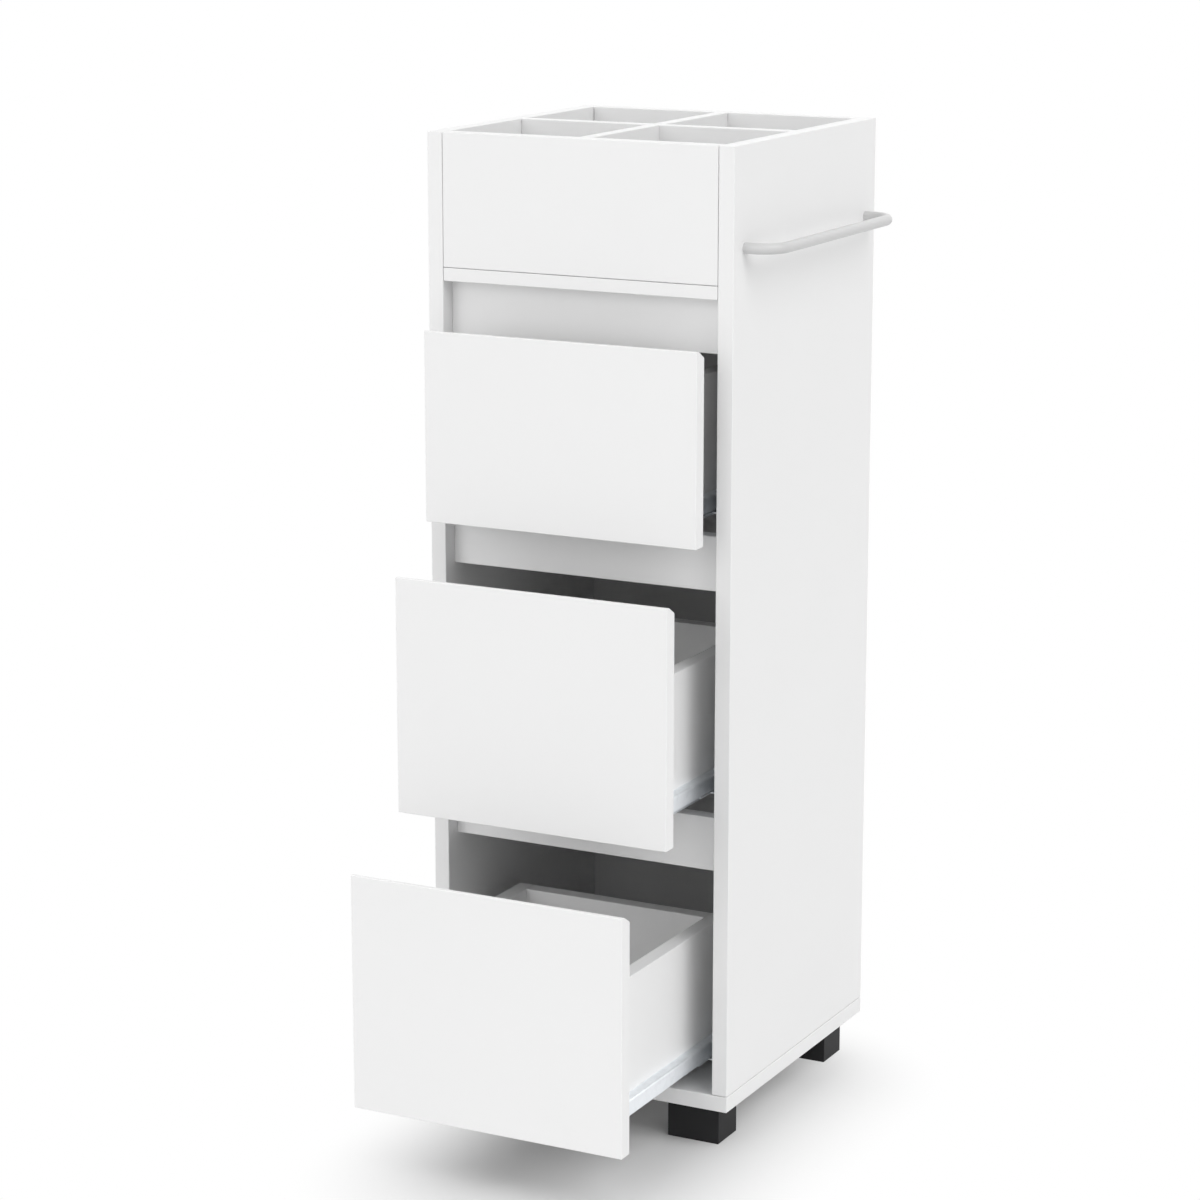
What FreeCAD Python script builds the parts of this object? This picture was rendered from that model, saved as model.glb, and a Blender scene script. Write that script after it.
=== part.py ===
"""Slim bathroom floor cabinet: an open divided tray over three drawers on roller runners, with a towel rail.

Millimetres, +Z up. The drawers open towards -Y and are modelled part-open, as they rest.
The origin is on the floor under the middle of the carcass.
"""

import FreeCAD
import Part
import math
import os

# Carcass boards
cabinet_width = 305.0
cabinet_depth = 310.0
side_thickness = 15.0
base_thickness = 15.0
lower_bay_height = 209.0
middle_bay_height = 210.0
upper_bay_height = 163.5
rail_height = 50.0
rail_thickness = 15.0
back_panel_thickness = 5.0
back_panel_inset = 9.0
back_groove_depth = 5.0
edge_break = 0.5
groove_clearance = 0.1

# Open tray on top
tray_floor_thickness = 12.0
tray_wall_thickness = 15.0
tray_wall_height = 122.0
divider_thickness = 12.0
divider_lap_share = 0.5
divider_clearance = 0.1

# Feet, moulded and open below
foot_width = 52.0
foot_depth = 39.0
foot_height = 38.5
foot_setback = 15.0
foot_wall = 3.0
foot_top = 4.0
foot_rib = 2.5
foot_rib_recess = 2.0

# Towel rail on the right side, and the two bolts that hold it from inside the tray
towel_rail_diameter = 10.0
towel_rail_standoff = 30.0
towel_rail_bend = 23.0
towel_rail_setback = 22.5
towel_rail_drop = 90.0
bolt_diameter = 4.0
bolt_head_diameter = 8.0
bolt_head_height = 2.4
bolt_reach = 12.0
bolt_clearance = 0.1

# Drawer fronts, inset between the sides; the bevel behind the top edge is the finger pull
front_thickness = 15.0
front_side_gap = 1.5
front_base_gap = 1.0
front_rail_overlap = 1.5
front_close_gap = 1.5
lower_front_height = 220.0
middle_front_height = 219.0
upper_front_height = 174.5
front_top_land = 4.5
front_bevel_drop = 6.5

# Drawer boxes, alike in all three drawers
box_side_thickness = 15.0
box_back_thickness = 15.0
box_height = 128.0
box_length = 250.0
box_rise = 14.5
box_bottom_thickness = 5.0
box_bottom_rise = 9.0
box_groove_depth = 5.0

# How far each drawer stands open, as a share of the runners' travel
lower_open_share = 0.94
middle_open_share = 0.495
upper_open_share = 0.2

# Roller runners, bent from sheet: one member on the cabinet and one under the drawer box
runner_space = 28.5
runner_rear_gap = 29.5
runner_sheet = 1.2
runner_travel_loss = 60.0
ledge_rise = 20.5
ledge_width = 9.5
sheet_bend = 1.8
lip_drop = 14.0
lip_clearance = 2.0
flange_width = 10.0
cap_clearance = 0.8
cap_width = 25.0
cap_setback = 35.0
track_setback = 20.0
track_lip_height = 2.0
web_clearance = 0.5

# Rollers and the pins they turn on
roller_diameter = 14.0
roller_width = 4.0
roller_inset = 3.1
roller_setback = 12.0
roller_play = 0.3
roller_side_play = 0.2
pin_diameter = 4.0
pin_clearance = 0.05
pin_end = 0.6
pin_tab_margin = 4.0
shoulder_diameter = 6.4
stop_height = 2.5
stop_length = 3.0

# Cuts run past the faces they open by this much
overrun = 1.0

# Places worked out from the sizes above
half_width = cabinet_width / 2
half_depth = cabinet_depth / 2
inner_x = half_width - side_thickness
base_top = foot_height + base_thickness
lower_rail_z = base_top + lower_bay_height
middle_rail_z = lower_rail_z + rail_height + middle_bay_height
upper_rail_z = middle_rail_z + rail_height + upper_bay_height
tray_floor_z = upper_rail_z + rail_height
tray_z = tray_floor_z + tray_floor_thickness
top_z = tray_z + tray_wall_height
tray_wall_y = half_depth - tray_wall_thickness
back_rear_y = half_depth - back_panel_inset
back_front_y = back_rear_y - back_panel_thickness
front_back_y = -half_depth + front_thickness
rail_y = front_back_y + front_close_gap
towel_rail_z = top_z - towel_rail_drop
towel_rail_y = half_depth - towel_rail_setback
box_x = inner_x - runner_space
box_inner_x = box_x - box_side_thickness
box_rear_y = front_back_y + box_length
box_back_y = box_rear_y - box_back_thickness

# Places within the right-hand runner; the rises are above the lower edge of the drawer box
runner_length = back_front_y - runner_rear_gap - rail_y
runner_travel = box_length - runner_travel_loss
roller_radius = roller_diameter / 2
roller_x = box_x + roller_inset
pin_end_x = roller_x + roller_width + pin_end
web_x = box_x + runner_sheet
lip_x = box_x + ledge_width
track_x = web_x + web_clearance
track_rise = ledge_rise - lip_drop - lip_clearance
cap_rise = ledge_rise + cap_clearance
front_axis_y = rail_y + roller_setback
front_axis_rise = ledge_rise - runner_sheet - roller_play - roller_radius
rear_axis_y = box_rear_y - roller_setback
rear_axis_rise = track_rise + roller_play + roller_radius

ORIGIN = FreeCAD.Vector(0, 0, 0)
X_AXIS = FreeCAD.Vector(1, 0, 0)
Y_AXIS = FreeCAD.Vector(0, 1, 0)

nodes = {}


def block(x0, x1, y0, y1, z0, z1):
    """A plain box between two corners."""
    return Part.makeBox(x1 - x0, y1 - y0, z1 - z0, FreeCAD.Vector(x0, y0, z0))


def board(x0, x1, y0, y1, z0, z1):
    """A board with its sharp edges broken."""
    blank = block(x0, x1, y0, y1, z0, z1)
    return blank.makeChamfer(edge_break, blank.Edges)


def rod(diameter, x0, x1, y, z):
    """A cylinder along X."""
    return Part.makeCylinder(diameter / 2, x1 - x0, FreeCAD.Vector(x0, y, z), X_AXIS)


def mirrored(shape):
    """The same shape on the other side of the cabinet's middle plane."""
    return shape.mirror(ORIGIN, X_AXIS)


def sheet_strip(outline, bent_corner, y0, length):
    """A strip of bent sheet along Y, from its section in X and Z.

    The section is straight between its corners, and one right-angled corner is rounded.
    """
    corners = [FreeCAD.Vector(x, y0, z) for x, z in outline]
    place = outline.index(bent_corner)
    bend = corners[place]
    back = (corners[place - 1] - bend).normalize() * sheet_bend
    ahead = (corners[place + 1] - bend).normalize() * sheet_bend
    middle = bend + back + ahead - (back + ahead).normalize() * sheet_bend
    arc = Part.Arc(bend + back, middle, bend + ahead).toShape()
    lines = Part.makePolygon([bend + ahead] + corners[place + 1:] + corners[:place] + [bend + back])
    return Part.Face(Part.Wire(lines.Edges + [arc])).extrude(Y_AXIS * length)


def drawer_runner(box_z):
    """The right-hand drawer member, closed: a flange under the box side, a web, a ledge and a deep lip.

    It is as long as the box, and its rear pin carries a roller that runs on the cabinet member's track.
    """
    ledge_z = box_z + ledge_rise
    ledge_under = ledge_z - runner_sheet
    lip_z = ledge_z - lip_drop
    outline = [
        (box_x - flange_width, box_z - runner_sheet),
        (web_x, box_z - runner_sheet),
        (web_x, ledge_under),
        (lip_x - runner_sheet, ledge_under),
        (lip_x - runner_sheet, lip_z),
        (lip_x, lip_z),
        (lip_x, ledge_z),
        (box_x, ledge_z),
        (box_x, box_z),
        (box_x - flange_width, box_z),
    ]
    member = sheet_strip(outline, (lip_x, ledge_z), front_back_y, box_length)
    axis_z = box_z + rear_axis_rise
    shoulder = rod(shoulder_diameter, web_x, roller_x - roller_side_play, rear_axis_y, axis_z)
    pin = rod(pin_diameter, web_x, pin_end_x, rear_axis_y, axis_z)
    return member.fuse([shoulder, pin]).removeSplitter()


def cabinet_runner(box_z):
    """The right-hand cabinet member: a wide channel with a track, a cap over the drawer's ledge and a stop.

    A tab at its front end carries the roller that the drawer member's ledge runs on.
    The cap starts behind the tab, and beside it the track is cut back to a narrow tongue.
    """
    track_z = box_z + track_rise
    cap_z = box_z + cap_rise
    web_face_x = inner_x - runner_sheet
    outline = [
        (inner_x, track_z - runner_sheet),
        (track_x, track_z - runner_sheet),
        (track_x, track_z + track_lip_height),
        (track_x + runner_sheet, track_z + track_lip_height),
        (track_x + runner_sheet, track_z),
        (web_face_x, track_z),
        (web_face_x, cap_z),
        (inner_x - cap_width, cap_z),
        (inner_x - cap_width, cap_z + runner_sheet),
        (inner_x, cap_z + runner_sheet),
    ]
    cut_back = [
        block(inner_x - cap_width, web_face_x, rail_y, rail_y + cap_setback, cap_z, cap_z + runner_sheet),
        block(pin_end_x, web_face_x, rail_y, rail_y + track_setback, track_z - runner_sheet, track_z),
    ]
    strip = sheet_strip(outline, (track_x, track_z - runner_sheet), rail_y, runner_length)
    member = strip.cut(cut_back)
    axis_z = box_z + front_axis_rise
    tab_rear_y = front_axis_y + roller_setback
    tab = block(track_x, track_x + runner_sheet, rail_y, tab_rear_y, track_z, axis_z + pin_tab_margin)
    pin = rod(pin_diameter, track_x + runner_sheet, pin_end_x, front_axis_y, axis_z)
    stop_reach = math.sqrt(roller_radius ** 2 - (roller_radius + roller_play - stop_height) ** 2)
    stop_y = rear_axis_y - runner_travel - stop_reach - roller_play
    stop_top = track_z + stop_height
    stop = block(roller_x, roller_x + roller_width, stop_y - stop_length, stop_y, track_z, stop_top)
    return member.fuse([tab, pin, stop]).removeSplitter()


def roller_pair(y, z):
    """The left and right rollers of one axis line."""
    roller_end_x = roller_x + roller_width
    tyre = rod(roller_diameter, roller_x, roller_end_x, y, z)
    roller = tyre.cut(rod(pin_diameter + 2 * pin_clearance, roller_x, roller_end_x, y, z))
    return Part.makeCompound([roller, mirrored(roller)])


def bottom_groove(box_z):
    """The space milled out of a drawer's four boards for its bottom panel."""
    reach_x = box_inner_x + box_groove_depth
    low = box_z + box_bottom_rise - groove_clearance
    high = low + box_bottom_thickness + 2 * groove_clearance
    return block(-reach_x, reach_x, front_back_y - box_groove_depth, box_back_y + box_groove_depth, low, high)


def drawer_front(front_z, front_height):
    """The inset front, closed, with a bevel behind its top edge and a groove for the drawer bottom."""
    front_x = inner_x - front_side_gap
    top = front_z + front_height
    outline = [
        (-half_depth, front_z),
        (front_back_y, front_z),
        (front_back_y, top - front_bevel_drop),
        (front_top_land - half_depth, top),
        (-half_depth, top),
    ]
    corners = [FreeCAD.Vector(-front_x, y, z) for y, z in outline]
    panel = Part.Face(Part.makePolygon(corners + corners[:1])).extrude(X_AXIS * (2 * front_x))
    panel = panel.makeChamfer(edge_break, panel.Edges)
    return panel.cut(bottom_groove(front_z + box_rise))


def drawer(name, front_z, front_height, open_share):
    """One drawer with its runner members and rollers, slid out to where it rests."""
    box_z = front_z + box_rise
    box_top = box_z + box_height
    groove = bottom_groove(box_z)
    side = board(box_inner_x, box_x, front_back_y, box_rear_y, box_z, box_top).cut(groove)
    back = board(-box_inner_x, box_inner_x, box_back_y, box_rear_y, box_z, box_top).cut(groove)
    tongue = box_groove_depth - groove_clearance
    bottom_x = box_inner_x + tongue
    bottom_z = box_z + box_bottom_rise
    bottom = block(-bottom_x, bottom_x, front_back_y - tongue, box_back_y + tongue,
                   bottom_z, bottom_z + box_bottom_thickness)
    runner = drawer_runner(box_z)
    moving = {
        "drawer_front": drawer_front(front_z, front_height),
        "drawer_right_side": side,
        "drawer_left_side": mirrored(side),
        "drawer_back": back,
        "drawer_bottom": bottom,
        "drawer_right_runner": runner,
        "drawer_left_runner": mirrored(runner),
        "rear_rollers": roller_pair(rear_axis_y, box_z + rear_axis_rise),
    }
    for piece, shape in moving.items():
        nodes[f"{name}_{piece}"] = shape.translated(Y_AXIS * (-open_share * runner_travel))
    fixed_runner = cabinet_runner(box_z)
    nodes[f"{name}_right_cabinet_runner"] = fixed_runner
    nodes[f"{name}_left_cabinet_runner"] = mirrored(fixed_runner)
    nodes[f"{name}_front_rollers"] = roller_pair(front_axis_y, box_z + front_axis_rise)


def towel_rail():
    """A round bar bent to a shallow U, and its bolts. Returns the bolt holes, which pass through the side."""
    bar_x = half_width + towel_rail_standoff
    straight_x = bar_x - towel_rail_bend
    straight_y = towel_rail_y - towel_rail_bend
    diagonal = towel_rail_bend * math.sqrt(2) / 2

    def at(x, y):
        return FreeCAD.Vector(x, y, towel_rail_z)

    front_arc = Part.Arc(at(straight_x, -towel_rail_y), at(straight_x + diagonal, -straight_y - diagonal),
                         at(bar_x, -straight_y))
    rear_arc = Part.Arc(at(bar_x, straight_y), at(straight_x + diagonal, straight_y + diagonal),
                        at(straight_x, towel_rail_y))
    path = Part.Wire([
        Part.makeLine(at(half_width, -towel_rail_y), at(straight_x, -towel_rail_y)),
        front_arc.toShape(),
        Part.makeLine(at(bar_x, -straight_y), at(bar_x, straight_y)),
        rear_arc.toShape(),
        Part.makeLine(at(straight_x, towel_rail_y), at(half_width, towel_rail_y)),
    ])
    section = Part.Wire(Part.makeCircle(towel_rail_diameter / 2, at(half_width, -towel_rail_y), X_AXIS))
    bar = path.makePipeShell([section], True, False)
    tip_x = half_width + bolt_reach
    hole_diameter = bolt_diameter + 2 * bolt_clearance
    bolts = []
    holes = []
    for y in (-towel_rail_y, towel_rail_y):
        head = rod(bolt_head_diameter, inner_x - bolt_head_height, inner_x, y, towel_rail_z)
        bolts.append(head.fuse(rod(bolt_diameter, inner_x, tip_x, y, towel_rail_z)))
        holes.append(rod(hole_diameter, inner_x, tip_x + bolt_clearance, y, towel_rail_z))
    nodes["towel_rail"] = bar.cut(holes)
    nodes["towel_rail_bolts"] = Part.makeCompound(bolts)
    return holes


def foot(x_sign, y_sign):
    """A moulded foot under one corner: four walls, a top plate and a cross rib, open below."""
    x0 = half_width - foot_setback - foot_width
    x1 = x0 + foot_width
    y0 = half_depth - foot_setback - foot_depth
    y1 = y0 + foot_depth
    hollow_top = foot_height - foot_top
    hollow = block(x0 + foot_wall, x1 - foot_wall, y0 + foot_wall, y1 - foot_wall, -overrun, hollow_top)
    rib_x = (x0 + x1 - foot_rib) / 2
    rib = block(rib_x, rib_x + foot_rib, y0 + foot_wall, y1 - foot_wall, foot_rib_recess, hollow_top)
    shape = board(x0, x1, y0, y1, 0, foot_height).cut(hollow).fuse(rib).removeSplitter()
    if x_sign < 0:
        shape = mirrored(shape)
    if y_sign < 0:
        shape = shape.mirror(ORIGIN, Y_AXIS)
    return shape


def tray():
    """The tray's front and back boards, and two dividers slotted into each other where they cross."""
    half = divider_thickness / 2
    slot = half + divider_clearance
    lap_z = tray_z + tray_wall_height * divider_lap_share
    long_board = board(-half, half, -tray_wall_y, tray_wall_y, tray_z, top_z)
    cross_board = board(-inner_x, inner_x, -half, half, tray_z, top_z)
    upper_slot = block(-half - overrun, half + overrun, -slot, slot, lap_z, top_z + overrun)
    lower_slot = block(-slot, slot, -half - overrun, half + overrun, tray_z - overrun, lap_z)
    nodes["tray_front_panel"] = board(-inner_x, inner_x, -half_depth, -tray_wall_y, tray_z, top_z)
    nodes["tray_back_panel"] = board(-inner_x, inner_x, tray_wall_y, half_depth, tray_z, top_z)
    nodes["tray_long_divider"] = long_board.cut(upper_slot)
    nodes["tray_cross_divider"] = cross_board.cut(lower_slot)


def carcass():
    """The fixed boards, the towel rail and the feet. The thin back panel is let into grooves all round."""
    reach_x = inner_x + back_groove_depth
    groove = block(-reach_x, reach_x, back_front_y - groove_clearance, back_rear_y + groove_clearance,
                   base_top - back_groove_depth, tray_floor_z + back_groove_depth)
    tongue = back_groove_depth - groove_clearance
    panel_x = inner_x + tongue
    nodes["back_panel"] = block(-panel_x, panel_x, back_front_y, back_rear_y,
                                base_top - tongue, tray_floor_z + tongue)

    side = board(inner_x, half_width, -half_depth, half_depth, base_top, top_z).cut(groove)
    base = board(-half_width, half_width, -half_depth, half_depth, foot_height, base_top)
    floor = board(-inner_x, inner_x, -half_depth, half_depth, tray_floor_z, tray_z)
    nodes["left_side_panel"] = mirrored(side)
    nodes["right_side_panel"] = side.cut(towel_rail())
    nodes["base_panel"] = base.cut(groove)
    nodes["tray_floor"] = floor.cut(groove)

    rail_rear_y = rail_y + rail_thickness
    for name, rail_z in (("lower", lower_rail_z), ("middle", middle_rail_z), ("upper", upper_rail_z)):
        nodes[f"{name}_rail"] = board(-inner_x, inner_x, rail_y, rail_rear_y, rail_z, rail_z + rail_height)
    for y_name, y_sign in (("front", -1), ("rear", 1)):
        for x_name, x_sign in (("left", -1), ("right", 1)):
            nodes[f"{y_name}_{x_name}_foot"] = foot(x_sign, y_sign)


carcass()
tray()
drawer("lower", base_top + front_base_gap, lower_front_height, lower_open_share)
drawer("middle", lower_rail_z + rail_height - front_rail_overlap, middle_front_height, middle_open_share)
drawer("upper", middle_rail_z + rail_height - front_rail_overlap, upper_front_height, upper_open_share)

os.makedirs("parts", exist_ok=True)
for node_name, node_shape in nodes.items():
    node_shape.exportStep(f"parts/{node_name}.step")
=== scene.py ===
"""Dresses the bathroom floor cabinet.

The boards, the metal and the plastic get their finishes. The towel rail, the rollers and the small
fasteners are made here, and a studio is set up round the cabinet.
"""

import logging
import math
from dataclasses import asdict, dataclass, fields
from enum import Enum
from typing import Any

import bmesh
import bpy
from mathutils import Matrix, Vector


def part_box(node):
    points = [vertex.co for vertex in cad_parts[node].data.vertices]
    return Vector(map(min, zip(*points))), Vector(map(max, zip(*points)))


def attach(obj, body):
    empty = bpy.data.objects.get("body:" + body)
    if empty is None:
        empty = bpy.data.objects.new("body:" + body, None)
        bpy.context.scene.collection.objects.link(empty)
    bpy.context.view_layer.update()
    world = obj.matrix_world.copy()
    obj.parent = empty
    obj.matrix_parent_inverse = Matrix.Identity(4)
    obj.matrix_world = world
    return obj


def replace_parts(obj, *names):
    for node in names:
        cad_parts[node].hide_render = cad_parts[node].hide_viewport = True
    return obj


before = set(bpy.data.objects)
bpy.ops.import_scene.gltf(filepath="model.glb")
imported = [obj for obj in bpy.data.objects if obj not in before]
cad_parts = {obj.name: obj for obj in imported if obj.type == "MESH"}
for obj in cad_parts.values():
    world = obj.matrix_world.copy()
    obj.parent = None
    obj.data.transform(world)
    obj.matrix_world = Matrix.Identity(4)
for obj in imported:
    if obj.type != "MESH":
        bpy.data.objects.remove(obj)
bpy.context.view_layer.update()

LOG = logging.getLogger("cabinet")
CARCASS = "carcass"
MM = 0.001
MERGE_REACH = MM / 1000
RIGHTWARD = Vector((1, 0, 0))
REARWARD = Vector((0, 1, 0))
UPWARD = Vector((0, 0, 1))
Colour = tuple[float, float, float, float]
Seat = tuple[Vector, Vector]
Node = bpy.types.Node
Socket = bpy.types.NodeSocket


class Side(Enum):
    """The two sides of the cabinet, each with the sign that X has there."""

    LEFT = -1
    RIGHT = 1

    @property
    def word(self) -> str:
        """The side as the CAD nodes spell it."""
        return self.name.lower()


class Face(Enum):
    """The faces of a board that butt against another board: the axis and the sign of the way out."""

    LEFT = (0, -1)
    RIGHT = (0, 1)
    LOWER = (2, -1)


class Level(Enum):
    """The three drawers, from the top down."""

    UPPER = "upper"
    MIDDLE = "middle"
    LOWER = "lower"


class RollerEnd(Enum):
    """The end of the runners that a pair of rollers sits at."""

    FRONT = "front"
    REAR = "rear"


class Graph:
    """A node tree with short calls to add nodes and join their sockets."""

    def __init__(self, tree: bpy.types.NodeTree) -> None:
        """Starts from an existing tree."""
        self.tree = tree

    def node(self, kind: str, inputs: dict[str | int, Any] | None = None, **settings: Any) -> Node:
        """Adds one node.

        Args:
            kind: The node's type name.
            inputs: Values, or other nodes' outputs, for its input sockets by name or place.
            settings: The node's own properties.

        Returns:
            The new node.
        """
        made = self.tree.nodes.new(kind)
        for key, value in settings.items():
            setattr(made, key, value)
        for socket, value in (inputs or {}).items():
            if isinstance(value, Socket):
                self.tree.links.new(value, made.inputs[socket])
            else:
                made.inputs[socket].default_value = value
        return made

    def join(self, output: Socket, node: Node, name: str) -> None:
        """Joins an output to a named input of a node."""
        self.tree.links.new(output, node.inputs[name])

    def number(self, operation: str, *terms: Any) -> Socket:
        """One step of arithmetic on numbers or sockets."""
        step = self.node("ShaderNodeMath", dict(enumerate(terms)), operation=operation)
        return step.outputs["Value"]

    def vector(self, operation: str, *terms: Any) -> Socket:
        """One step of arithmetic on vectors or sockets, with a vector as its result."""
        step = self.node("ShaderNodeVectorMath", dict(enumerate(terms)), operation=operation)
        return step.outputs["Vector"]


def fresh_graph(owner: bpy.types.Material | bpy.types.World) -> Graph:
    """Empties the node tree of a material or a world, so that it can be built up.

    Args:
        owner: The material or the world.

    Returns:
        Its empty tree.
    """
    owner.use_nodes = True
    owner.node_tree.nodes.clear()
    return Graph(owner.node_tree)


def grey(level: float) -> Colour:
    """A neutral colour of one brightness."""
    return (level, level, level, 1.0)


def part_way(low: float, high: float, share: float) -> float:
    """The place at a share of the way from low to high."""
    return low + (high - low) * share


@dataclass(frozen=True)
class Finish:
    """A surface finish: what its material is called, the record's slot it belongs to and its look.

    SOFT and CRISP are how many finer layers a random pattern has.
    """

    name: str
    slot: str
    colour: Colour
    shade: Colour
    roughness: tuple[float, float]

    SOFT = 2.0
    CRISP = 3.0

    def material(self) -> bpy.types.Material:
        """Finds this finish's material, or builds it the first time.

        Returns:
            The material.
        """
        found = bpy.data.materials.get(self.name)
        if found:
            return found
        made = bpy.data.materials.new(self.name)
        made.diffuse_color = self.colour
        graph = fresh_graph(made)
        shader = graph.node("ShaderNodeBsdfPrincipled")
        graph.node("ShaderNodeOutputMaterial", {"Surface": shader.outputs["BSDF"]})
        self.paint(graph, shader)
        return made

    def paint(self, graph: Graph, shader: Node) -> None:
        """Adds the nodes that give the finish its look; each kind of finish has its own."""
        raise NotImplementedError

    def place(self, graph: Graph, stretch: Vector = Vector((1, 1, 1))) -> Socket:
        """Coordinates on the piece itself.

        Args:
            graph: The material's nodes.
            stretch: How much finer a pattern is along each axis.

        Returns:
            A vector output, in metres times the stretch.
        """
        coords = graph.node("ShaderNodeTexCoord")
        mapping = graph.node("ShaderNodeMapping", {"Vector": coords.outputs["Object"], "Scale": stretch})
        return mapping.outputs["Vector"]

    def clouds(self, graph: Graph, where: Socket, scale: float, detail: float) -> Socket:
        """A random pattern from 0 to 1, with scale patches to the metre."""
        noise = graph.node("ShaderNodeTexNoise", {"Vector": where, "Scale": scale, "Detail": detail})
        return noise.outputs["Fac"]

    def tint(self, graph: Graph, shader: Node, pattern: Socket) -> None:
        """Varies the base colour between the two shades by a pattern.

        Args:
            graph: The material's nodes.
            shader: The material's shader.
            pattern: 0 for the darker shade, 1 for the lighter one.
        """
        shades = {"Factor": pattern, "A": self.shade, "B": self.colour}
        mix = graph.node("ShaderNodeMix", shades, data_type="RGBA")
        graph.join(mix.outputs["Result"], shader, "Base Color")

    def dull(self, graph: Graph, shader: Node, pattern: Socket) -> None:
        """Varies the roughness between its two limits by a pattern.

        Args:
            graph: The material's nodes.
            shader: The material's shader.
            pattern: 0 for the glossier limit, 1 for the duller one.
        """
        low, high = self.roughness
        spread = graph.node("ShaderNodeMapRange", {"Value": pattern, "To Min": low, "To Max": high})
        graph.join(spread.outputs["Result"], shader, "Roughness")

    def emboss(self, graph: Graph, shader: Node, pattern: Socket, depth: float) -> None:
        """Raises a pattern on the surface by a depth in metres."""
        bump = graph.node("ShaderNodeBump", {"Height": pattern, "Strength": 1.0, "Distance": depth})
        graph.join(bump.outputs["Normal"], shader, "Normal")


@dataclass(frozen=True)
class BoardFinish(Finish):
    """Melamine or lacquer on board: an even satin white with a fine orange peel."""

    peel_scale: float = 1500.0
    peel_depth: float = 0.012 * MM
    cloud_scale: float = 7.0
    smudge_scale: float = 63.0
    gloss: float = 0.35

    def paint(self, graph: Graph, shader: Node) -> None:
        """Cloudy white, slightly uneven gloss and orange peel.

        Args:
            graph: The material's nodes.
            shader: The material's shader.
        """
        where = self.place(graph)
        shader.inputs["Specular IOR Level"].default_value = self.gloss
        self.tint(graph, shader, self.clouds(graph, where, self.cloud_scale, self.SOFT))
        self.dull(graph, shader, self.clouds(graph, where, self.smudge_scale, self.CRISP))
        self.emboss(graph, shader, self.clouds(graph, where, self.peel_scale, self.SOFT), self.peel_depth)


@dataclass(frozen=True)
class MetalFinish(Finish):
    """Bare metal: rolling marks along one axis over a crystalline zinc spangle."""

    rolling: Vector = Vector((1400, 14, 1400))
    spangle_scale: float = 160.0
    mark_depth: float = 0.004 * MM

    def paint(self, graph: Graph, shader: Node) -> None:
        """Spangle in the colour, rolling marks in the gloss and the relief.

        Args:
            graph: The material's nodes.
            shader: The material's shader.
        """
        where = self.place(graph)
        marks = self.clouds(graph, self.place(graph, self.rolling), 1.0, self.CRISP)
        spangle = graph.node("ShaderNodeTexVoronoi", {"Vector": where, "Scale": self.spangle_scale})
        flakes = graph.node("ShaderNodeSeparateColor", {"Color": spangle.outputs["Color"]})
        shader.inputs["Metallic"].default_value = 1.0
        self.tint(graph, shader, flakes.outputs["Red"])
        self.dull(graph, shader, marks)
        self.emboss(graph, shader, marks, self.mark_depth)


@dataclass(frozen=True)
class MouldedFinish(Finish):
    """Moulded plastic or powder paint: a fine even grain."""

    grain_scale: float = 1800.0
    grain_depth: float = 0.03 * MM
    grains_to_cloud: float = 40.0
    milkiness: float = 0.0
    gloss: float = 0.5

    def paint(self, graph: Graph, shader: Node) -> None:
        """Grain in the relief and the gloss, and a faint cloud in the colour.

        Args:
            graph: The material's nodes.
            shader: The material's shader.
        """
        where = self.place(graph)
        grain = self.clouds(graph, where, self.grain_scale, self.SOFT)
        cloud = self.clouds(graph, where, self.grain_scale / self.grains_to_cloud, self.SOFT)
        shader.inputs["Specular IOR Level"].default_value = self.gloss
        shader.inputs["Subsurface Weight"].default_value = self.milkiness
        shader.inputs["Subsurface Scale"].default_value = MM
        self.tint(graph, shader, cloud)
        self.dull(graph, shader, grain)
        self.emboss(graph, shader, grain, self.grain_depth)


MELAMINE = BoardFinish(
    "white_melamine", "white_board", grey(0.82), grey(0.805), (0.38, 0.46))
# painted shade: the back and the drawer bottoms get a grey well below the white melamine, so that the deep
# bays behind the drawers look darker
PAINTED_SHADE_HARDBOARD = BoardFinish(
    "white_faced_hardboard", "white_hardboard", grey(0.62), grey(0.59), (0.42, 0.52),
    peel_scale=900.0, peel_depth=0.03 * MM)
GALVANISED = MetalFinish(
    "galvanised_sheet", "runner_steel", (0.88, 0.905, 0.93, 1), (0.84, 0.865, 0.89, 1), (0.50, 0.62))
ZINC = MetalFinish(
    "zinc_plate", "bolt_steel", (0.68, 0.69, 0.71, 1), (0.58, 0.59, 0.62, 1), (0.25, 0.38),
    rolling=Vector((700, 700, 700)), spangle_scale=900.0)
GREY_PAINT = MouldedFinish(
    "light_grey_paint", "rail_metal", grey(0.585), grey(0.56), (0.32, 0.42),
    grain_scale=2600.0, grain_depth=0.012 * MM)
BLACK_PLASTIC = MouldedFinish(
    "black_plastic", "foot_plastic", (0.021, 0.021, 0.022, 1), (0.017, 0.017, 0.018, 1), (0.42, 0.58),
    gloss=0.14)
NYLON = MouldedFinish(
    "white_nylon", "roller_nylon", (0.82, 0.82, 0.79, 1), (0.78, 0.78, 0.75, 1), (0.35, 0.45),
    milkiness=0.2)


def dress(node: str, finish: Finish) -> None:
    """Gives one CAD node a finish.

    Args:
        node: The CAD node's name.
        finish: What it is finished with.
    """
    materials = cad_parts[node].data.materials
    materials.clear()
    materials.append(finish.material())
    LOG.info("%s: %s", node, finish.name)


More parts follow.
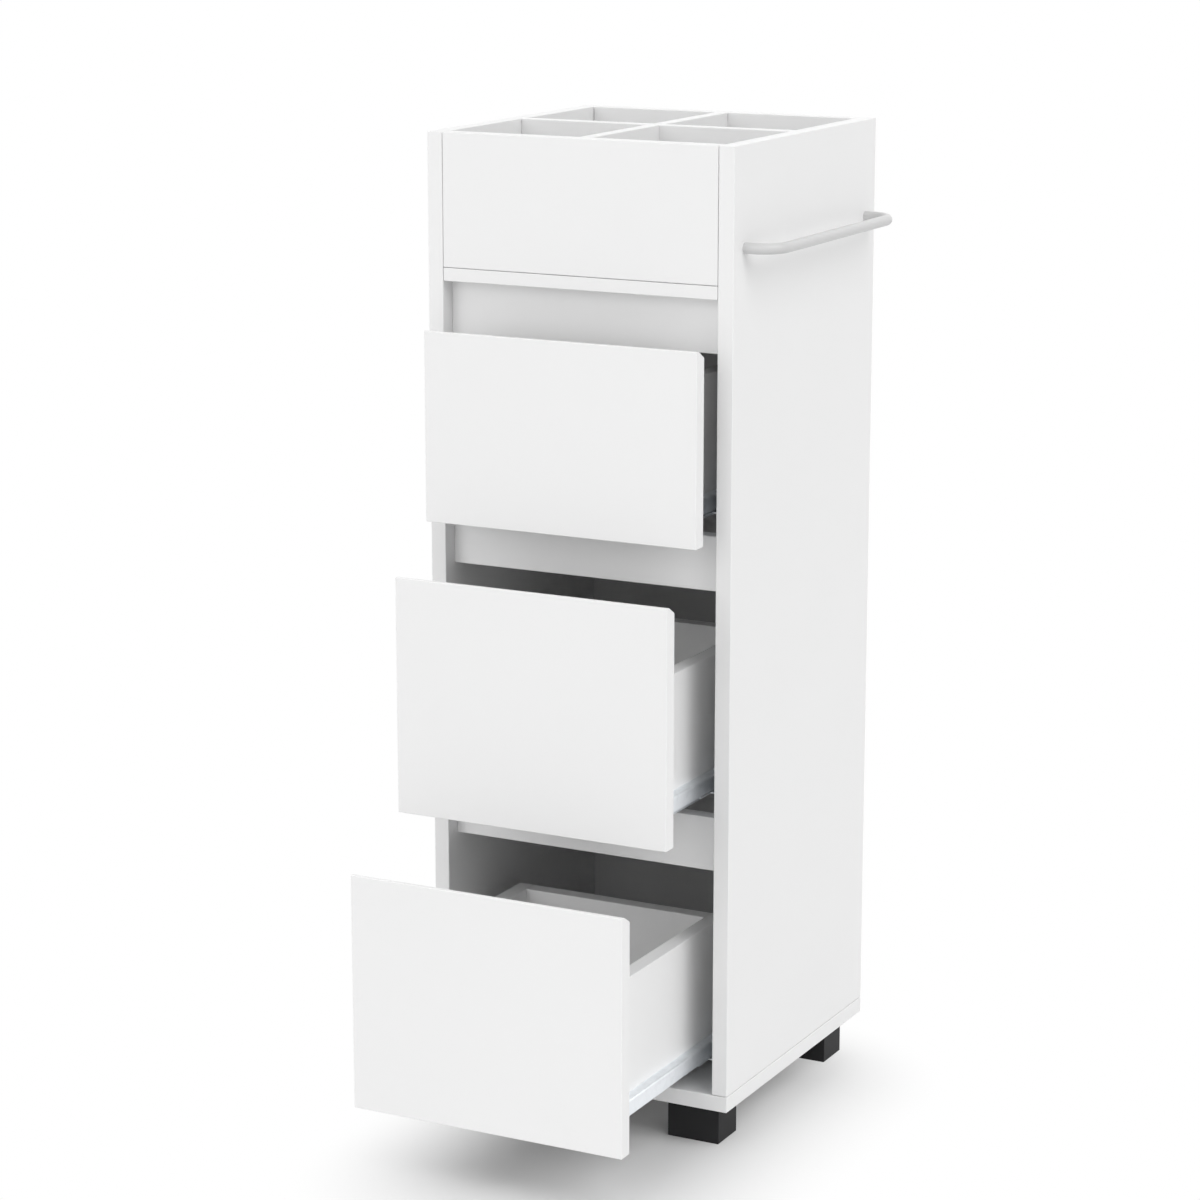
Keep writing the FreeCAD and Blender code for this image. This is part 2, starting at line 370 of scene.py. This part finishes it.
def add_piece(name: str, mesh: bpy.types.Mesh, finish: Finish, body: str) -> bpy.types.Object:
    """Puts a finished mesh into the scene, riding on a body.

    Args:
        name: The piece's name.
        mesh: Its mesh, in place in the row's frame.
        finish: What it is finished with.
        body: The CAD body that it moves with.

    Returns:
        The new object.
    """
    mesh.name = name
    if not mesh.materials:
        mesh.materials.append(finish.material())
    piece = bpy.data.objects.new(name, mesh)
    bpy.context.scene.collection.objects.link(piece)
    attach(piece, body)
    LOG.info("%s: %d faces, on %s", name, len(mesh.polygons), body)
    return piece


def close_mesh(shape: bmesh.types.BMesh, name: str) -> bpy.types.Mesh:
    """Turns a shape that is done into a mesh.

    Args:
        shape: The shape, which is freed.
        name: The mesh's name.

    Returns:
        The mesh.
    """
    mesh = bpy.data.meshes.new(name)
    shape.to_mesh(mesh)
    shape.free()
    return mesh


@dataclass(frozen=True)
class HeadSizes:
    """The sizes of a fastener's head, in metres, with the crown's width as a share of the rim's."""

    rim_radius: float
    rim_height: float
    crown_share: float
    crown_height: float
    recess_width: float = 0.0
    recess_depth: float = 0.0


@dataclass(frozen=True)
class BarSizes:
    """The sizes of a bent bar, in metres."""

    bar_radius: float
    bend_radius: float


class NodeShape:
    """A Geometry Nodes tree with named sizes, which turns a base object into a plain mesh."""

    def __init__(self, name: str, sizes: type[HeadSizes] | type[BarSizes]) -> None:
        """Makes the tree with a geometry input, one number input for each size, and a finish.

        Args:
            name: The tree's name.
            sizes: The dataclass whose fields are its size inputs.
        """
        self.name = name
        self.tree = bpy.data.node_groups.new(name, "GeometryNodeTree")
        self.graph = Graph(self.tree)
        self.tree.interface.new_socket(name="Geometry", in_out="OUTPUT", socket_type="NodeSocketGeometry")
        self.add_input("Geometry", "NodeSocketGeometry")
        self.sockets = {size.name: self.add_input(size.name, "NodeSocketFloat") for size in fields(sizes)}
        self.finish_socket = self.add_input("Finish", "NodeSocketMaterial")
        self.given = self.graph.node("NodeGroupInput").outputs

    def add_input(self, name: str, kind: str) -> str:
        """Adds a named input to the tree and gives its identifier."""
        return self.tree.interface.new_socket(name=name, in_out="INPUT", socket_type=kind).identifier

    def close(self, shape: Socket, smooth: bool) -> None:
        """Ends the tree: realizes instances, then sets the shading and the finish.

        Args:
            shape: The geometry to end with.
            smooth: Whether it is shaded smooth.
        """
        real = self.graph.node("GeometryNodeRealizeInstances", {"Geometry": shape})
        shaded = self.graph.node("GeometryNodeSetShadeSmooth", {0: real.outputs[0], "Shade Smooth": smooth})
        finished = {0: shaded.outputs[0], "Material": self.given["Finish"]}
        done = self.graph.node("GeometryNodeSetMaterial", finished)
        self.graph.node("NodeGroupOutput", {0: done.outputs[0]})

    def total(self, *terms: tuple[float, Socket]) -> Socket:
        """Adds up sockets, each times a factor.

        Args:
            terms: The factor and the socket of each term.

        Returns:
            The sum.
        """
        result: Socket | float = 0.0
        for factor, term in terms:
            result = self.graph.number("MULTIPLY_ADD", term, factor, result)
        return result

    def triple(self, x: Any = 0.0, y: Any = 0.0, z: Any = 0.0) -> Socket:
        """A vector of three numbers or sockets."""
        return self.graph.node("ShaderNodeCombineXYZ", {"X": x, "Y": y, "Z": z}).outputs[0]

    def mesh(self, base: bpy.types.Object, sizes: HeadSizes | BarSizes, finish: Finish) -> bpy.types.Mesh:
        """Runs the tree on a base object.

        Args:
            base: An object with the points or the path to work on; it is removed afterwards.
            sizes: The dataclass that gives each size input its value.
            finish: The finish that the result gets.

        Returns:
            A plain mesh.
        """
        modifier = base.modifiers.new(self.name, "NODES")
        modifier.node_group = self.tree
        for size, value in asdict(sizes).items():
            modifier[self.sockets[size]] = value
        modifier[self.finish_socket] = finish.material()
        bpy.context.scene.collection.objects.link(base)
        evaluated = base.evaluated_get(bpy.context.evaluated_depsgraph_get())
        result = bpy.data.meshes.new_from_object(evaluated)
        base.modifiers.remove(modifier)
        bpy.data.objects.remove(base)
        return result


class TurnedHeads(NodeShape):
    """Round heads seated on points: a rim, a narrower crown and, if asked, a cross recess in it."""

    CORNERS = 28
    RECESS_IN_RADII = 1.1
    HALF = 0.5
    TWICE = 2.0
    WAY = "facing"

    def __init__(self, name: str, recessed: bool) -> None:
        """Builds the tree.

        Args:
            name: The tree's name.
            recessed: Whether the crown has a cross recess.
        """
        super().__init__(name, HeadSizes)
        head = self.plain_head()
        if recessed:
            head = self.cut_cross(head)
        self.close(self.seat(head), smooth=False)

    def plain_head(self) -> Socket:
        """A rim with a narrower crown on it, with the middle of the rim at the origin.

        Returns:
            The head's geometry.
        """
        given, graph = self.given, self.graph
        rim = graph.node("GeometryNodeMeshCylinder", {
            "Vertices": self.CORNERS,
            "Radius": given["rim_radius"],
            "Depth": given["rim_height"],
        })
        crown = graph.node("GeometryNodeExtrudeMesh", {
            "Mesh": rim.outputs["Mesh"],
            "Selection": rim.outputs["Top"],
            "Offset Scale": given["crown_height"],
            "Individual": False,
        })
        drawn_in = graph.node("GeometryNodeScaleElements", {
            "Geometry": crown.outputs["Mesh"],
            "Selection": crown.outputs["Top"],
            "Scale": given["crown_share"],
        })
        return drawn_in.outputs[0]

    def cut_cross(self, head: Socket) -> Socket:
        """Cuts two crossing slots into the top of a head.

        The bars that cut them lie half above the top, so they are twice as high as the slots are deep.

        Args:
            head: The head's geometry.

        Returns:
            The head with the slots in it.
        """
        given, graph = self.given, self.graph
        width = given["recess_width"]
        length = self.total((self.RECESS_IN_RADII, given["rim_radius"]))
        height = self.total((self.TWICE, given["recess_depth"]))
        top = self.triple(z=self.total((self.HALF, given["rim_height"]), (1.0, given["crown_height"])))
        for size in (self.triple(length, width, height), self.triple(width, length, height)):
            bar = graph.node("GeometryNodeMeshCube", {"Size": size}).outputs[0]
            raised = graph.node("GeometryNodeTransform", {"Geometry": bar, "Translation": top}).outputs[0]
            solids = {"Mesh 1": head, "Mesh 2": raised}
            cut = graph.node("GeometryNodeMeshBoolean", solids, operation="DIFFERENCE", solver="EXACT")
            head = cut.outputs[0]
        return head

    def seat(self, head: Socket) -> Socket:
        """Stands a copy of a head on every point, turned to the way that the point faces.

        Args:
            head: The head's geometry.

        Returns:
            The copies.
        """
        graph = self.graph
        lift = self.triple(z=self.total((self.HALF, self.given["rim_height"])))
        standing = graph.node("GeometryNodeTransform", {"Geometry": head, "Translation": lift})
        way = graph.node("GeometryNodeInputNamedAttribute", {"Name": self.WAY}, data_type="FLOAT_VECTOR")
        turn = graph.node("FunctionNodeAlignRotationToVector", {"Vector": way.outputs[0]}, axis="Z")
        copies = graph.node("GeometryNodeInstanceOnPoints", {
            "Points": self.given["Geometry"],
            "Instance": standing.outputs[0],
            "Rotation": turn.outputs[0],
        })
        return copies.outputs[0]

    def on(self, seats: list[Seat], sizes: HeadSizes, finish: Finish) -> bpy.types.Mesh:
        """Heads on a set of seats.

        Args:
            seats: Where each head sits and which way it faces.
            sizes: The sizes of the heads.
            finish: What the heads are finished with.

        Returns:
            One mesh of all the heads.
        """
        points = bpy.data.meshes.new(self.name)
        points.from_pydata([place for place, _ in seats], [], [])
        ways = points.attributes.new(self.WAY, "FLOAT_VECTOR", "POINT")
        ways.data.foreach_set("vector", [number for _, way in seats for number in way])
        return self.mesh(bpy.data.objects.new(self.name, points), sizes, finish)


class BentBar(NodeShape):
    """A round bar along a path of straight runs, with its corners bent to a radius."""

    CORNERS = 40
    BEND_STEPS = 18

    def __init__(self) -> None:
        """Builds the tree."""
        super().__init__("bent_bar", BarSizes)
        given, graph = self.given, self.graph
        bend = {"Curve": given["Geometry"], "Count": self.BEND_STEPS, "Radius": given["bend_radius"]}
        bent = graph.node("GeometryNodeFilletCurve", bend, mode="POLY")
        circle = {"Resolution": self.CORNERS, "Radius": given["bar_radius"]}
        section = graph.node("GeometryNodeCurvePrimitiveCircle", circle)
        bar = graph.node("GeometryNodeCurveToMesh", {
            "Curve": bent.outputs[0],
            "Profile Curve": section.outputs[0],
            "Fill Caps": True,
        })
        self.close(bar.outputs[0], smooth=True)

    def along(self, path: list[Vector], sizes: BarSizes, finish: Finish) -> bpy.types.Mesh:
        """A bar along a path.

        Args:
            path: The corners of the path.
            sizes: The sizes of the bar.
            finish: What the bar is finished with.

        Returns:
            The bar's mesh.
        """
        curve = bpy.data.curves.new(self.name, "CURVE")
        curve.dimensions = "3D"
        spline = curve.splines.new("POLY")
        spline.points.add(len(path) - 1)
        for point, corner in zip(spline.points, path):
            point.co = (*corner, 1.0)
        return self.mesh(bpy.data.objects.new(self.name, curve), sizes, finish)


@dataclass
class Fasteners:
    """The kinds of small fastener, each with the sizes of its head."""

    screw: HeadSizes = HeadSizes(
        rim_radius=3.3 * MM, rim_height=0.15 * MM, crown_share=0.9, crown_height=0.2 * MM,
        recess_width=0.9 * MM, recess_depth=0.8 * MM)
    cam: HeadSizes = HeadSizes(
        rim_radius=7.5 * MM, rim_height=0.3 * MM, crown_share=0.94, crown_height=0.2 * MM,
        recess_width=1.6 * MM, recess_depth=0.4 * MM)
    pan_bolt: HeadSizes = HeadSizes(
        rim_radius=4.0 * MM, rim_height=1.5 * MM, crown_share=0.72, crown_height=0.9 * MM,
        recess_width=1.1 * MM, recess_depth=1.2 * MM)
    rivet: HeadSizes = HeadSizes(
        rim_radius=3.2 * MM, rim_height=0.45 * MM, crown_share=0.7, crown_height=0.35 * MM)

    def __post_init__(self) -> None:
        """Builds the two trees once."""
        self.crossed = TurnedHeads("cross_heads", recessed=True)
        self.plain = TurnedHeads("rivet_heads", recessed=False)

    def screws(self, body: str, seats: list[Seat]) -> bpy.types.Object:
        """Countersunk screws on one body."""
        return add_piece(f"{body}_screws", self.crossed.on(seats, self.screw, ZINC), ZINC, body)

    def cams(self, body: str, seats: list[Seat]) -> bpy.types.Object:
        """Cam fittings on one body."""
        return add_piece(f"{body}_cams", self.crossed.on(seats, self.cam, ZINC), ZINC, body)

    def bolts(self, body: str, seats: list[Seat]) -> bpy.types.Object:
        """Pan-headed bolts on one body."""
        return add_piece(f"{body}_bolts", self.crossed.on(seats, self.pan_bolt, ZINC), ZINC, body)

    def rivets(self, body: str, seats: list[Seat]) -> bpy.types.Object:
        """Rivet heads on the roller pins of one body."""
        return add_piece(f"{body}_rivets", self.plain.on(seats, self.rivet, ZINC), ZINC, body)


def mirrored_seats(seats: list[Seat]) -> list[Seat]:
    """Right-hand seats and the same on the left."""
    flip = Matrix.Scale(-1, 3, RIGHTWARD)
    return seats + [(flip @ place, flip @ way) for place, way in seats]


@dataclass
class Carcass:
    """The fixed boards, the feet and the cabinet's runner members, with their fasteners."""

    cam_reach: float = 24 * MM
    floor_cam_y: float = 75 * MM
    base_screw_y: float = 95 * MM
    base_screw_inset: float = 7.5 * MM
    foot_top: float = 4 * MM
    foot_screw_offset: float = 13 * MM
    sheet: float = 1.2 * MM
    screw_shares: tuple[float, ...] = (0.14, 0.55, 0.9)
    joint_gap: float = 0.5 * MM
    broken_edge: float = 0.6 * MM

    JOINTS = {
        "left_side_panel": (Face.LOWER,),
        "right_side_panel": (Face.LOWER,),
        "tray_floor": (Face.LEFT, Face.RIGHT),
        "tray_front_panel": (Face.LEFT, Face.RIGHT, Face.LOWER),
        "tray_back_panel": (Face.LEFT, Face.RIGHT, Face.LOWER),
    }
    BOARDS = (
        "base_panel", "tray_long_divider", "tray_cross_divider", "upper_rail", "middle_rail", "lower_rail")
    FEET = ("front_left_foot", "front_right_foot", "rear_left_foot", "rear_right_foot")

    def build(self, fasteners: Fasteners) -> None:
        """Dresses the fixed nodes and adds their fasteners.

        Args:
            fasteners: The kinds of fastener to use.
        """
        for node in self.BOARDS:
            dress(node, MELAMINE)
        for node, faces in self.JOINTS.items():
            self.butt_board(node, faces)
        dress("back_panel", PAINTED_SHADE_HARDBOARD)
        for node in self.FEET:
            dress(node, BLACK_PLASTIC)
        for level in Level:
            for side in Side:
                dress(f"{level.value}_{side.word}_cabinet_runner", GALVANISED)
        paired_screws = mirrored_seats(self.base_screws() + self.runner_screws())
        fasteners.screws(CARCASS, self.foot_screws() + paired_screws)
        fasteners.cams(CARCASS, mirrored_seats(self.cam_seats()))

    def butt_board(self, node: str, faces: tuple[Face, ...]) -> None:
        """Makes a board that ends a hair short of its neighbours, so that the joints show as fine lines.

        Args:
            node: The CAD node that the board stands for.
            faces: The faces that are drawn back.
        """
        low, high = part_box(node)
        shape = bmesh.new()
        shape.from_mesh(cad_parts[node].data)
        bmesh.ops.remove_doubles(shape, verts=shape.verts, dist=MERGE_REACH)
        for face in faces:
            axis, out = face.value
            limit = high[axis] if out > 0 else low[axis]
            for vertex in shape.verts:
                if abs(vertex.co[axis] - limit) < self.broken_edge:
                    vertex.co[axis] -= out * self.joint_gap
        board = add_piece(f"{node}_board", close_mesh(shape, node), MELAMINE, CARCASS)
        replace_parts(board, node)

    def cam_seats(self) -> list[Seat]:
        """Right-hand cams behind the rails and under the tray floor.

        Returns:
            Their seats.
        """
        seats = []
        for level in Level:
            low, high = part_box(f"{level.value}_rail")
            seats.append((Vector((high.x - self.cam_reach, high.y, (low.z + high.z) / 2)), REARWARD))
        low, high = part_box("tray_floor")
        for y in (-self.floor_cam_y, self.floor_cam_y):
            seats.append((Vector((high.x - self.cam_reach, y, low.z)), -UPWARD))
        return seats

    def base_screws(self) -> list[Seat]:
        """Right-hand screws up through the base into the side.

        Returns:
            Their seats.
        """
        low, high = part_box("base_panel")
        x = high.x - self.base_screw_inset
        return [(Vector((x, y, low.z)), -UPWARD) for y in (-self.base_screw_y, self.base_screw_y)]

    def foot_screws(self) -> list[Seat]:
        """Two screws inside each foot, under its top plate.

        Returns:
            Their seats.
        """
        seats = []
        for node in self.FEET:
            low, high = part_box(node)
            middle = (low + high) / 2
            z = high.z - self.foot_top
            for offset in (-self.foot_screw_offset, self.foot_screw_offset):
                seats.append((Vector((middle.x + offset, middle.y, z)), -UPWARD))
        return seats

    def runner_screws(self) -> list[Seat]:
        """Right-hand screws through the cabinet members' webs.

        Returns:
            Their seats.
        """
        seats = []
        for level in Level:
            low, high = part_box(f"{level.value}_right_cabinet_runner")
            x, z = high.x - self.sheet, (low.z + high.z) / 2
            for share in self.screw_shares:
                seats.append((Vector((x, part_way(low.y, high.y, share), z)), -RIGHTWARD))
        return seats


@dataclass
class TowelRail:
    """The bent bar on the right side and the bolts that hold it from inside the tray."""

    bend: float = 23 * MM
    head_height: float = 2.4 * MM

    def build(self, fasteners: Fasteners) -> None:
        """Makes the bar and its bolt heads in place of their CAD nodes.

        Args:
            fasteners: The kinds of fastener to use.
        """
        low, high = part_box("towel_rail")
        radius = (high.z - low.z) / 2
        z = (low.z + high.z) / 2
        front, rear = low.y + radius, high.y - radius
        wall, grip = low.x, high.x - radius
        path = [Vector((x, y, z)) for x, y in ((wall, front), (grip, front), (grip, rear), (wall, rear))]
        mesh = BentBar().along(path, BarSizes(radius, self.bend), GREY_PAINT)
        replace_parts(add_piece("towel_bar", mesh, GREY_PAINT, CARCASS), "towel_rail")
        inner_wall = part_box("towel_rail_bolts")[0].x + self.head_height
        seats = [(Vector((inner_wall, y, z)), -RIGHTWARD) for y in (front, rear)]
        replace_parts(fasteners.bolts(CARCASS, seats), "towel_rail_bolts")


@dataclass
class Rollers:
    """The left and right rollers of one axis line: a crowned tread on a thin web and a longer hub.

    Each point of the section is a share of the width and a share of the way from the bore to the tread.
    """

    node: str
    width: float = 4 * MM
    bore: float = 2.05 * MM
    corners: int = 48
    crease: float = 35.0

    HALF_SECTION = (
        (0.0, 0.0), (0.0, 0.24), (0.12, 0.34), (0.12, 0.66), (0.0, 0.74), (0.0, 0.94), (0.06, 0.99))
    CROWN = (0.5, 1.0)

    def build(self) -> None:
        """Turns both rollers and puts them in place of the CAD node."""
        low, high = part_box(self.node)
        centre = (low + high) / 2
        radius = (high.z - low.z) / 2
        shape = bmesh.new()
        for side in Side:
            left_face = side.value * (high.x - self.width / 2) - self.width / 2
            self.turn(shape, Vector((left_face, centre.y, centre.z)), radius)
        bmesh.ops.remove_doubles(shape, verts=shape.verts, dist=MERGE_REACH)
        bmesh.ops.recalc_face_normals(shape, faces=shape.faces)
        mesh = close_mesh(shape, self.node)
        mesh.shade_smooth()
        mesh.set_sharp_from_angle(angle=math.radians(self.crease))
        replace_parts(add_piece(f"{self.node}_turned", mesh, NYLON, self.node), self.node)

    def section(self) -> list[tuple[float, float]]:
        """The closed section of one roller, the same from both faces to the crown."""
        mirrored = [(1.0 - along, out) for along, out in reversed(self.HALF_SECTION)]
        return [*self.HALF_SECTION, self.CROWN, *mirrored]

    def turn(self, shape: bmesh.types.BMesh, start: Vector, radius: float) -> None:
        """Spins the section of one roller round its axis.

        Args:
            shape: The shape that gets the roller.
            start: The middle of the roller's left face.
            radius: The radius of the tread.
        """
        ring = []
        for along, out in self.section():
            reach = part_way(self.bore, radius, out)
            ring.append(shape.verts.new(start + Vector((along * self.width, 0, reach))))
        edges = [shape.edges.new((ring[i - 1], ring[i])) for i in range(len(ring))]
        bmesh.ops.spin(
            shape, geom=ring + edges, cent=start, axis=RIGHTWARD, angle=math.tau, steps=self.corners,
            use_merge=True)


@dataclass
class Drawer:
    """One drawer: its boards, its runner members, their rollers and its fasteners."""

    level: Level
    flange_inset: float = 5 * MM
    sheet: float = 1.2 * MM
    flange_shares: tuple[float, ...] = (0.18, 0.82)
    side_screw_inset: float = 7.5 * MM
    side_screw_shares: tuple[float, ...] = (0.35, 0.75)
    cam_reach: float = 24 * MM
    cam_shares: tuple[float, ...] = (0.35, 0.75)
    rivet_gap: float = 0.1 * MM

    BOARDS = ("front", "left_side", "right_side", "back")

    def build(self, fasteners: Fasteners) -> None:
        """Dresses the drawer's nodes, turns its rollers and adds its fasteners.

        Args:
            fasteners: The kinds of fastener to use.
        """
        name = f"{self.level.value}_drawer"
        for board in self.BOARDS:
            dress(f"{name}_{board}", MELAMINE)
        dress(f"{name}_bottom", PAINTED_SHADE_HARDBOARD)
        for side in Side:
            dress(f"{name}_{side.word}_runner", GALVANISED)
        for end in RollerEnd:
            Rollers(self.roller_node(end)).build()
        fasteners.screws(name, mirrored_seats(self.flange_screws() + self.side_screws()))
        fasteners.cams(name, mirrored_seats(self.cam_seats()))
        fasteners.rivets(name, mirrored_seats([self.pin_end(RollerEnd.REAR)]))

    def roller_node(self, end: RollerEnd) -> str:
        """The CAD node of the rollers at one end of the runners."""
        return f"{self.level.value}_{end.value}_rollers"

    def right_side(self) -> tuple[Vector, Vector]:
        """The lower and the upper corner of the right-hand box side."""
        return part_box(f"{self.level.value}_drawer_right_side")

    def flange_screws(self) -> list[Seat]:
        """Right-hand screws up through the runner's flange into the box side.

        Returns:
            Their seats.
        """
        low, high = self.right_side()
        x, z = high.x - self.flange_inset, low.z - self.sheet
        return [(Vector((x, part_way(low.y, high.y, share), z)), -UPWARD) for share in self.flange_shares]

    def side_screws(self) -> list[Seat]:
        """Right-hand screws through the box side into the back.

        Returns:
            Their seats.
        """
        low, high = self.right_side()
        x, y = high.x, high.y - self.side_screw_inset
        heights = [part_way(low.z, high.z, share) for share in self.side_screw_shares]
        return [(Vector((x, y, z)), RIGHTWARD) for z in heights]

    def cam_seats(self) -> list[Seat]:
        """Right-hand cams that draw the front up to the box.

        Returns:
            Their seats.
        """
        low, high = self.right_side()
        x, y = low.x, low.y + self.cam_reach
        heights = [part_way(low.z, high.z, share) for share in self.cam_shares]
        return [(Vector((x, y, z)), -RIGHTWARD) for z in heights]

    def pin_end(self, end: RollerEnd) -> Seat:
        """The right-hand end of a roller pin, just outside the roller.

        Args:
            end: The end of the runners that the roller sits at.

        Returns:
            The seat for a rivet head.
        """
        low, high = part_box(self.roller_node(end))
        middle = (low + high) / 2
        return Vector((high.x + self.rivet_gap, middle.y, middle.z)), RIGHTWARD


@dataclass(frozen=True)
class Lamp:
    """One broad light, by where it comes from: degrees to the right of the front, and above level."""

    name: str
    strength: float
    round_right: float
    above: float
    softness: float

    def hang(self, scene: bpy.types.Scene) -> None:
        """Adds the lamp to the scene.

        Args:
            scene: The scene that gets the lamp.
        """
        turn, lift = math.radians(self.round_right), math.radians(self.above)
        level = math.cos(lift)
        source = Vector((math.sin(turn) * level, -math.cos(turn) * level, math.sin(lift)))
        data = bpy.data.lights.new(self.name, "SUN")
        data.energy = self.strength
        data.angle = math.radians(self.softness)
        lamp = bpy.data.objects.new(self.name, data)
        lamp.rotation_euler = source.to_track_quat("Z", "Y").to_euler()
        scene.collection.objects.link(lamp)


@dataclass
class Studio:
    """The camera at the photograph's place, six soft lights, a white surround and a white floor.

    A camera that isn't turned looks straight down, and LEVEL_TILT brings it level.
    """

    eye: Vector = Vector((1.4267, -2.8679, 1.2115))
    yaw: float = 27.37
    pitch: float = 12.99
    lens: float = 104.34
    sensor: float = 36.0
    ambient: float = 0.42
    floor_size: float = 30.0
    # painted shade: the grey that the camera sees on the floor near the cabinet, darker than the bounce
    # grey, to deepen the cabinet's shadow
    floor_painted_shade: float = 0.70
    floor_bounce: float = 0.85
    # the rectangle round the cabinet inside which the floor keeps its painted shade
    shadow_centre: Vector = Vector((0.045, -0.141, 0))
    shadow_reach: Vector = Vector((0.043, 0.169, 0))
    fade_width: float = 0.194
    lamps: tuple[Lamp, ...] = (
        Lamp("front_light", strength=1.02, round_right=-12, above=16, softness=55),
        Lamp("left_front_light", strength=0.28, round_right=-45, above=40, softness=50),
        Lamp("right_light", strength=1.27, round_right=71, above=45, softness=42),
        Lamp("right_rear_light", strength=0.30, round_right=107, above=27, softness=45),
        Lamp("left_light", strength=0.42, round_right=-92, above=40, softness=45),
        Lamp("back_light", strength=0.42, round_right=180, above=30, softness=60),
    )

    WHITE = 1.0
    LEVEL_TILT = 90.0

    def build(self) -> None:
        """Sets up everything that isn't the object."""
        scene = bpy.context.scene
        scene.view_settings.view_transform = "Standard"
        self.camera(scene)
        self.world(scene)
        self.floor(scene)
        for lamp in self.lamps:
            lamp.hang(scene)

    def camera(self, scene: bpy.types.Scene) -> None:
        """Puts the camera where the photograph was taken from.

        Args:
            scene: The scene that gets the camera.
        """
        data = bpy.data.cameras.new("photo_camera")
        data.lens = self.lens
        data.sensor_width = self.sensor
        data.clip_end = self.floor_size * 2
        camera = bpy.data.objects.new("photo_camera", data)
        camera.location = self.eye
        camera.rotation_euler = (math.radians(self.LEVEL_TILT - self.pitch), 0, math.radians(self.yaw))
        scene.collection.objects.link(camera)
        scene.camera = camera

    def seen(self, graph: Graph) -> Socket:
        """Tells rays that show a surface from light that is scattered on to another one.

        Args:
            graph: The nodes of the material or the world.

        Returns:
            1 for rays from the camera, a reflection or clear glass, and 0 for the rest.
        """
        path = graph.node("ShaderNodeLightPath").outputs
        shine = graph.number("MAXIMUM", path["Is Glossy Ray"], path["Is Transmission Ray"])
        return graph.number("MAXIMUM", path["Is Camera Ray"], shine)

    def world(self, scene: bpy.types.Scene) -> None:
        """Adds a surround that looks white and lights the object more softly.

        Args:
            scene: The scene that gets the surround.
        """
        world = bpy.data.worlds.new("white_surround")
        graph = fresh_graph(world)
        limits = {"Value": self.seen(graph), "To Min": self.ambient, "To Max": self.WHITE}
        level = graph.node("ShaderNodeMapRange", limits)
        light = graph.node("ShaderNodeBackground", {"Color": grey(self.WHITE), "Strength": level.outputs[0]})
        graph.node("ShaderNodeOutputWorld", {"Surface": light.outputs[0]})
        scene.world = world

    def floor(self, scene: bpy.types.Scene) -> None:
        """Lays a floor that keeps the cabinet's shadow near its foot, deepened there by painted shade, and
        fades to white further out.

        Args:
            scene: The scene that gets the floor.
        """
        half = self.floor_size / 2
        corners = [(-half, -half, 0), (half, -half, 0), (half, half, 0), (-half, half, 0)]
        mesh = bpy.data.meshes.new("floor")
        mesh.from_pydata(corners, [], [(0, 1, 2, 3)])
        mesh.materials.append(self.floor_material())
        floor = bpy.data.objects.new("floor", mesh)
        scene.collection.objects.link(floor)

    def floor_material(self) -> bpy.types.Material:
        """A matt floor that the camera sees painted darker near the cabinet, as painted shade, which gives
        way to even white away from it.

        Returns:
            The material.
        """
        material = bpy.data.materials.new("white_floor")
        graph = fresh_graph(material)
        seen = self.seen(graph)
        # the camera sees the floor near the cabinet in the painted shade's grey; light scattered off the
        # floor uses the bounce grey
        shades = {"Factor": seen, "A": grey(self.floor_bounce), "B": grey(self.floor_painted_shade)}
        shade = graph.node("ShaderNodeMix", shades, data_type="RGBA")
        matt = graph.node("ShaderNodeBsdfDiffuse", {"Color": shade.outputs["Result"]})
        glow = graph.node("ShaderNodeEmission", {"Color": grey(self.WHITE), "Strength": self.WHITE})
        share = graph.number("MULTIPLY", seen, self.fade(graph))
        both = graph.node("ShaderNodeMixShader", {0: share, 1: matt.outputs[0], 2: glow.outputs[0]})
        graph.node("ShaderNodeOutputMaterial", {"Surface": both.outputs[0]})
        return material

    def fade(self, graph: Graph) -> Socket:
        """How far a place on the floor has faded to white, by its distance from the shadow's rectangle.

        Args:
            graph: The floor's nodes.

        Returns:
            0 inside the rectangle, rising smoothly to 1 at the fade's width from it.
        """
        place = graph.node("ShaderNodeTexCoord").outputs["Object"]
        spread = graph.vector("ABSOLUTE", graph.vector("SUBTRACT", place, self.shadow_centre))
        outside = graph.vector("MAXIMUM", graph.vector("SUBTRACT", spread, self.shadow_reach), Vector())
        away = graph.node("ShaderNodeVectorMath", {0: outside}, operation="LENGTH").outputs["Value"]
        limits = {"Value": away, "From Max": self.fade_width}
        return graph.node("ShaderNodeMapRange", limits, interpolation_type="SMOOTHSTEP").outputs[0]


def main() -> None:
    """Builds the sub-assemblies in order, then the studio."""
    logging.basicConfig(level=logging.INFO, format="%(name)s: %(message)s")
    fasteners = Fasteners()
    Carcass().build(fasteners)
    TowelRail().build(fasteners)
    drawers = [Drawer(level) for level in Level]
    for drawer in drawers:
        drawer.build(fasteners)
    front_pins = [drawer.pin_end(RollerEnd.FRONT) for drawer in drawers]
    fasteners.rivets(CARCASS, mirrored_seats(front_pins))
    Studio().build()


if __name__ == "__main__":
    main()
